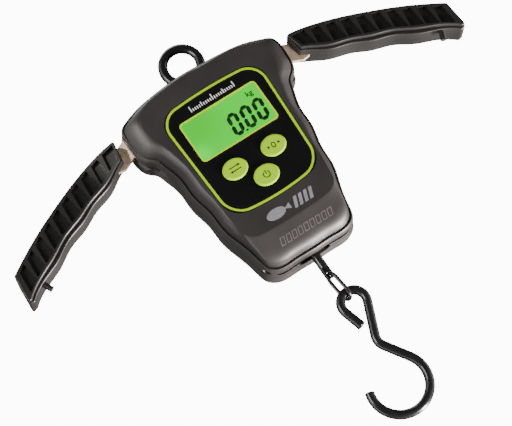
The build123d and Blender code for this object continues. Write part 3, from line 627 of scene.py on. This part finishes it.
# %% Scale marks
TICKS, TICK_PITCH = 21, 1.32
ticks = []
for i in range(TICKS):
    tall = 3.4 if i % 10 == 0 else 2.6 if i % 5 == 0 else 1.6
    ticks.append(bar(0.62, tall, x=TICK_PITCH * (i - (TICKS - 1) / 2), z=tall / 2))
scale_marks = together("scale_marks", ticks, "ink_white")
lay(scale_marks, DISPLAY.x, window_high[2] + 3.2 * MM, PANEL_FACE)
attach(scale_marks, "case")
print(TICKS, "ticks")

# %% [markdown]
# ## Key symbols
# Each key carries a plain dark symbol in place of a word: two opposed arrows to change the unit, a
# nought between two pointers for tare, and the usual broken ring for power. Rings are discs inset and
# opened; a pointer is a three-cornered disc.

# %% Key symbols


def disc(corners, radius, stretch=(1, 1)):
    """A flat many-cornered disc in the XZ plane, in millimetres."""
    clear_selection()
    bpy.ops.mesh.primitive_circle_add(
        vertices=corners, radius=radius * MM, fill_type="NGON", rotation=(radians(90), 0, 0)
    )
    made = settle(bpy.context.object)
    made.scale = (stretch[0], 1, stretch[1])
    return settle(made)


def thicken(obj):
    """Give a flat sheet its thickness towards both sides."""
    take(obj)
    solid = obj.modifiers.new("Ink", "SOLIDIFY")
    solid.thickness, solid.offset = INK_THICK, 0
    bpy.ops.object.modifier_apply(modifier=solid.name)
    return obj


def ring(radius, line, stretch=(1, 1), gap=0.0):
    """A flat ring, open at the top by a gap in degrees."""
    made = disc(48, radius, stretch)
    edit(made, lambda face: True, "FACE")
    bpy.ops.mesh.inset(thickness=line * MM)
    bpy.ops.mesh.delete(type="FACE")
    leave_edit()
    if gap:
        reach = radius * MM * sin(radians(gap))
        edit(made, lambda face: face.center.z > 0 and abs(face.center.x) < reach, "FACE")
        bpy.ops.mesh.delete(type="FACE")
        leave_edit()
    return thicken(made)


def pointer(size, x, z, turn):
    """A triangle whose tip points to +X before it is turned."""
    tip = thicken(disc(3, size))
    made = twin(tip, x, z, turn)
    bpy.data.objects.remove(tip)
    return made


def arrow(length, z, turn):
    side = 1 if turn == 0 else -1
    return [bar(length, 0.55, x=-0.5 * side, z=z), pointer(0.95, side * (length / 2 - 0.1), z, 90 * side)]


unit_symbol = together("unit_symbol", arrow(5.2, 1.1, 0) + arrow(5.2, -1.1, 180), "ink_dark")
tare_parts = [ring(1.7, 0.5, (0.72, 1)), pointer(1.0, -3.0, 0, 90), pointer(1.0, 3.0, 0, -90)]
tare_symbol = together("tare_symbol", tare_parts, "ink_dark")
power_symbol = together("power_symbol", [ring(2.0, 0.5, gap=28), bar(0.55, 2.2, z=1.3)], "ink_dark")
for symbol, key in ((unit_symbol, "unit"), (tare_symbol, "tare"), (power_symbol, "power")):
    centre = middle(key + "_button")
    lay(symbol, centre.x, centre.z, KEY_FACE)
    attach(symbol, key + "_key")
    print(symbol.name, "on", key)

# %% [markdown]
# ## Marks below the panel
# A plain grey fish and four slanted bars fill the space under the panel, and a row of thin outlined
# bars runs across the sloped face below them. The fish is a stretched disc, narrowed at its hind end,
# with a tail drawn out of its last edges.

# %% Fish mark
FISH_HALF, FISH_DEEP, FISH_X = 5.6, 2.9, -7.6
HIND, TAIL_ROOT, TAIL_LONG, TAIL_FLARE = 0.93, 0.96, 2.9, 7.0
SLASHES, SLASH_FIRST, SLASH_PITCH, SLASH_LEAN = 4, 4.2, 3.1, radians(20)
MARKS_Z = -102.0


def fish():
    body = disc(40, FISH_HALF, (1, FISH_DEEP / FISH_HALF))
    edit(body, lambda v: v.co.x > FISH_HALF * MM * HIND)
    bpy.ops.transform.resize(value=(1, 1, 0.55))
    leave_edit()
    points = body.data.vertices
    edit(body, lambda e: all(points[i].co.x > FISH_HALF * MM * TAIL_ROOT for i in e.vertices), "EDGE")
    bpy.ops.mesh.extrude_edges_move(TRANSFORM_OT_translate={"value": (TAIL_LONG * MM, 0, 0)})
    bpy.ops.transform.resize(value=(0.2, 1, TAIL_FLARE))
    leave_edit()
    return thicken(body)


fish_mark = fish()
along_x = [v.co.x / MM for v in fish_mark.data.vertices]
print("fish", round(min(along_x), 2), "to", round(max(along_x), 2))
strokes = [twin(fish_mark, FISH_X, 0)]
bpy.data.objects.remove(fish_mark)
for i in range(SLASHES):
    slash = leaning(bar(1.9, 6.0), SLASH_LEAN)
    strokes.append(twin(slash, SLASH_FIRST + SLASH_PITCH * i, 0))
    bpy.data.objects.remove(slash)
face_mark = together("face_mark", strokes, "ink_grey")
CASE_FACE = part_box("front_shell")[0][1]
lay(face_mark, 0.0, MARKS_Z * MM, CASE_FACE)
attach(face_mark, "case")
print("face", CASE_FACE)

# %% [markdown]
# The outlined bars lie on a curved face. They are made flat in front of it, cut fine enough to bend,
# and then dropped along Y onto the shell with a Shrinkwrap modifier before they get their thickness.

# %% Outlined bars
OUTLINED, OUTLINED_PITCH, OUTLINED_ASIDE, OUTLINED_Z = 9, 3.6, 1.8, -115.6


def outlined_bar():
    clear_selection()
    bpy.ops.mesh.primitive_plane_add(size=1, rotation=(radians(90), 0, 0))
    made = settle(bpy.context.object)
    made.scale = (2.5 * MM, 1, 4.0 * MM)
    settle(made)
    edit(made, lambda face: True, "FACE")
    bpy.ops.mesh.inset(thickness=0.28 * MM)
    bpy.ops.mesh.delete(type="FACE")
    bpy.ops.mesh.select_all(action="SELECT")
    bpy.ops.mesh.subdivide(number_cuts=3)
    leave_edit()
    return leaning(made, radians(14))


def drop_onto(obj, target, gap):
    """Lay a flat mark on a curved part, along +Y."""
    take(obj)
    wrap = obj.modifiers.new("Onto the face", "SHRINKWRAP")
    wrap.target = target
    wrap.wrap_method = "PROJECT"
    wrap.use_project_x, wrap.use_project_y, wrap.use_project_z = False, True, False
    wrap.use_positive_direction, wrap.use_negative_direction = True, True
    wrap.wrap_mode = "ABOVE_SURFACE"
    wrap.offset = gap
    bpy.ops.object.modifier_apply(modifier=wrap.name)
    return obj


blank = outlined_bar()
row = [twin(blank, OUTLINED_PITCH * (i - (OUTLINED - 1) / 2) + OUTLINED_ASIDE, 0) for i in range(OUTLINED)]
bpy.data.objects.remove(blank)
outlined = together("outlined_marks", row, "ink_faint")
outlined.location = (0, CASE_FACE - 5 * MM, OUTLINED_Z * MM)
drop_onto(settle(outlined), nodes["front_shell"], 0.03 * MM)
thicken(outlined)
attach(outlined, "case")
print("outlined marks from y", min(v.co.y for v in outlined.data.vertices))

# %% [markdown]
# ## Floor
# The scale hangs free. A pale floor lies far below it, under the lowest lamp, and sends a little soft
# light back up. Seen from beneath it would hide the scale, so its underside lets light through.

# %% Floor
FLOOR_SIZE, FLOOR_DROP = 6, 1.3
clear_selection()
bpy.ops.mesh.primitive_plane_add(size=FLOOR_SIZE, location=(0, 0, size_before[0][2] - FLOOR_DROP))
floor = settle(bpy.context.object)
floor.name = "floor"
tree, shader = moulded("floor_paper", (0.80, 0.80, 0.80), (0.84, 0.84, 0.84), 0.8, patches=2.0)
clear = add_node(tree, "BsdfTransparent")
side = add_node(tree, "NewGeometry").outputs["Backfacing"]
choice = add_node(tree, "MixShader", {"Fac": side})
tree.links.new(shader.outputs[0], choice.inputs[1])
tree.links.new(clear.outputs[0], choice.inputs[2])
tree.links.new(choice.outputs[0], tree.nodes["Material Output"].inputs["Surface"])
floor.data.materials.append(materials["floor_paper"])
print("floor at", floor.data.vertices[0].co.z)

# %% [markdown]
# ## Light
# Product shots of dark plastic are lit by what the plastic mirrors. The room is white to the eye but
# dim in reflections, so the front face stays dark; large soft boxes at the sides, above and below
# put the light into the rounded shoulders, the sloped foot and the grips. One narrow spot picks out
# the left arm plate, which would otherwise sit in the handle's shade.

# %% World
SEEN_GLOW, ROOM_GLOW = 12.0, 0.15
world = bpy.data.worlds.new("Studio")
world.use_nodes = True
bpy.context.scene.world = world
tree = world.node_tree
back = tree.nodes["Background"]
back.inputs["Color"].default_value = ink((1, 1, 1))
back.inputs["Strength"].default_value = SEEN_GLOW
room = add_node(tree, "Background", {"Color": ink((1.0, 0.985, 0.97)), "Strength": ROOM_GLOW})
seen = add_node(tree, "LightPath").outputs["Is Camera Ray"]
pick = add_node(tree, "MixShader", {"Fac": seen})
tree.links.new(room.outputs[0], pick.inputs[1])
tree.links.new(back.outputs[0], pick.inputs[2])
tree.links.new(pick.outputs[0], tree.nodes["World Output"].inputs["Surface"])

# %% Soft boxes
AIM = Vector((0, 0, -0.075))


def soft_box(name, place, width, height, power, tint=(1, 1, 1)):
    lamp = bpy.data.lights.new(name, "AREA")
    lamp.shape, lamp.size, lamp.size_y = "RECTANGLE", width, height
    lamp.energy, lamp.color = power, tint
    box = bpy.data.objects.new(name, lamp)
    box.location = place
    box.rotation_euler = (AIM - Vector(place)).to_track_quat("-Z", "Y").to_euler()
    bpy.context.collection.objects.link(box)
    return box


soft_box("upper left", (-0.9, -0.45, 0.8), 0.9, 0.9, 4)
soft_box("left", (-1.1, -0.20, -0.30), 0.5, 1.1, 5)
soft_box("left near", (-0.62, -0.50, 0.05), 0.3, 0.4, 4, (1.0, 0.97, 0.94))
soft_box("right", (1.15, -0.12, -0.35), 0.5, 1.0, 4, (1.0, 0.97, 0.95))
soft_box("below right", (0.40, -0.01, -1.10), 0.8, 0.2, 88, (1.0, 0.93, 0.91))
soft_box("top", (0.1, 0.1, 1.0), 1.0, 0.6, 8)

SNOOT_WIDTH, SNOOT_PLACE = radians(3.2), Vector((-0.35, -0.50, 0.25))
snoot = bpy.data.objects.new("snoot", bpy.data.lights.new("snoot", "SPOT"))
snoot.data.energy, snoot.data.color = 32, (1.0, 0.95, 0.90)
snoot.data.spot_size, snoot.data.spot_blend, snoot.data.shadow_soft_size = SNOOT_WIDTH, 0.5, 0.005
snoot.location = SNOOT_PLACE
aimed = Vector(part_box("left_hinge_pin")[0]) + Vector((-0.013, 0, 0.008))
snoot.rotation_euler = (aimed - snoot.location).to_track_quat("-Z", "Y").to_euler()
bpy.context.collection.objects.link(snoot)
print("lights placed")

# %% [markdown]
# ## Camera
# A long lens from below and a little to the left, rolled so that the scale lies across the frame.

# %% Camera
AZIMUTH, ELEVATION, ROLL = radians(-10.64), radians(-15.55), radians(-35.0)
TARGET, REACH, LENS = Vector((-0.01605, -0.0179, -0.0960)), 0.8894, 123.0
toward_eye = Vector((sin(AZIMUTH) * cos(ELEVATION), -cos(AZIMUTH) * cos(ELEVATION), sin(ELEVATION)))
level = Vector((cos(AZIMUTH), sin(AZIMUTH), 0))
upward = toward_eye.cross(level)
right = level * cos(ROLL) + upward * sin(ROLL)
up = upward * cos(ROLL) - level * sin(ROLL)
camera = bpy.data.objects.new("Camera", bpy.data.cameras.new("Camera"))
bpy.context.collection.objects.link(camera)
turn = Matrix((right, up, toward_eye)).transposed().to_4x4()
camera.matrix_world = Matrix.Translation(TARGET + toward_eye * REACH) @ turn
camera.data.sensor_width = 36
camera.data.lens = LENS
camera.data.dof.use_dof = False
camera.data.clip_start, camera.data.clip_end = 0.05, 20
bpy.context.scene.camera = camera
print("camera at", camera.location)
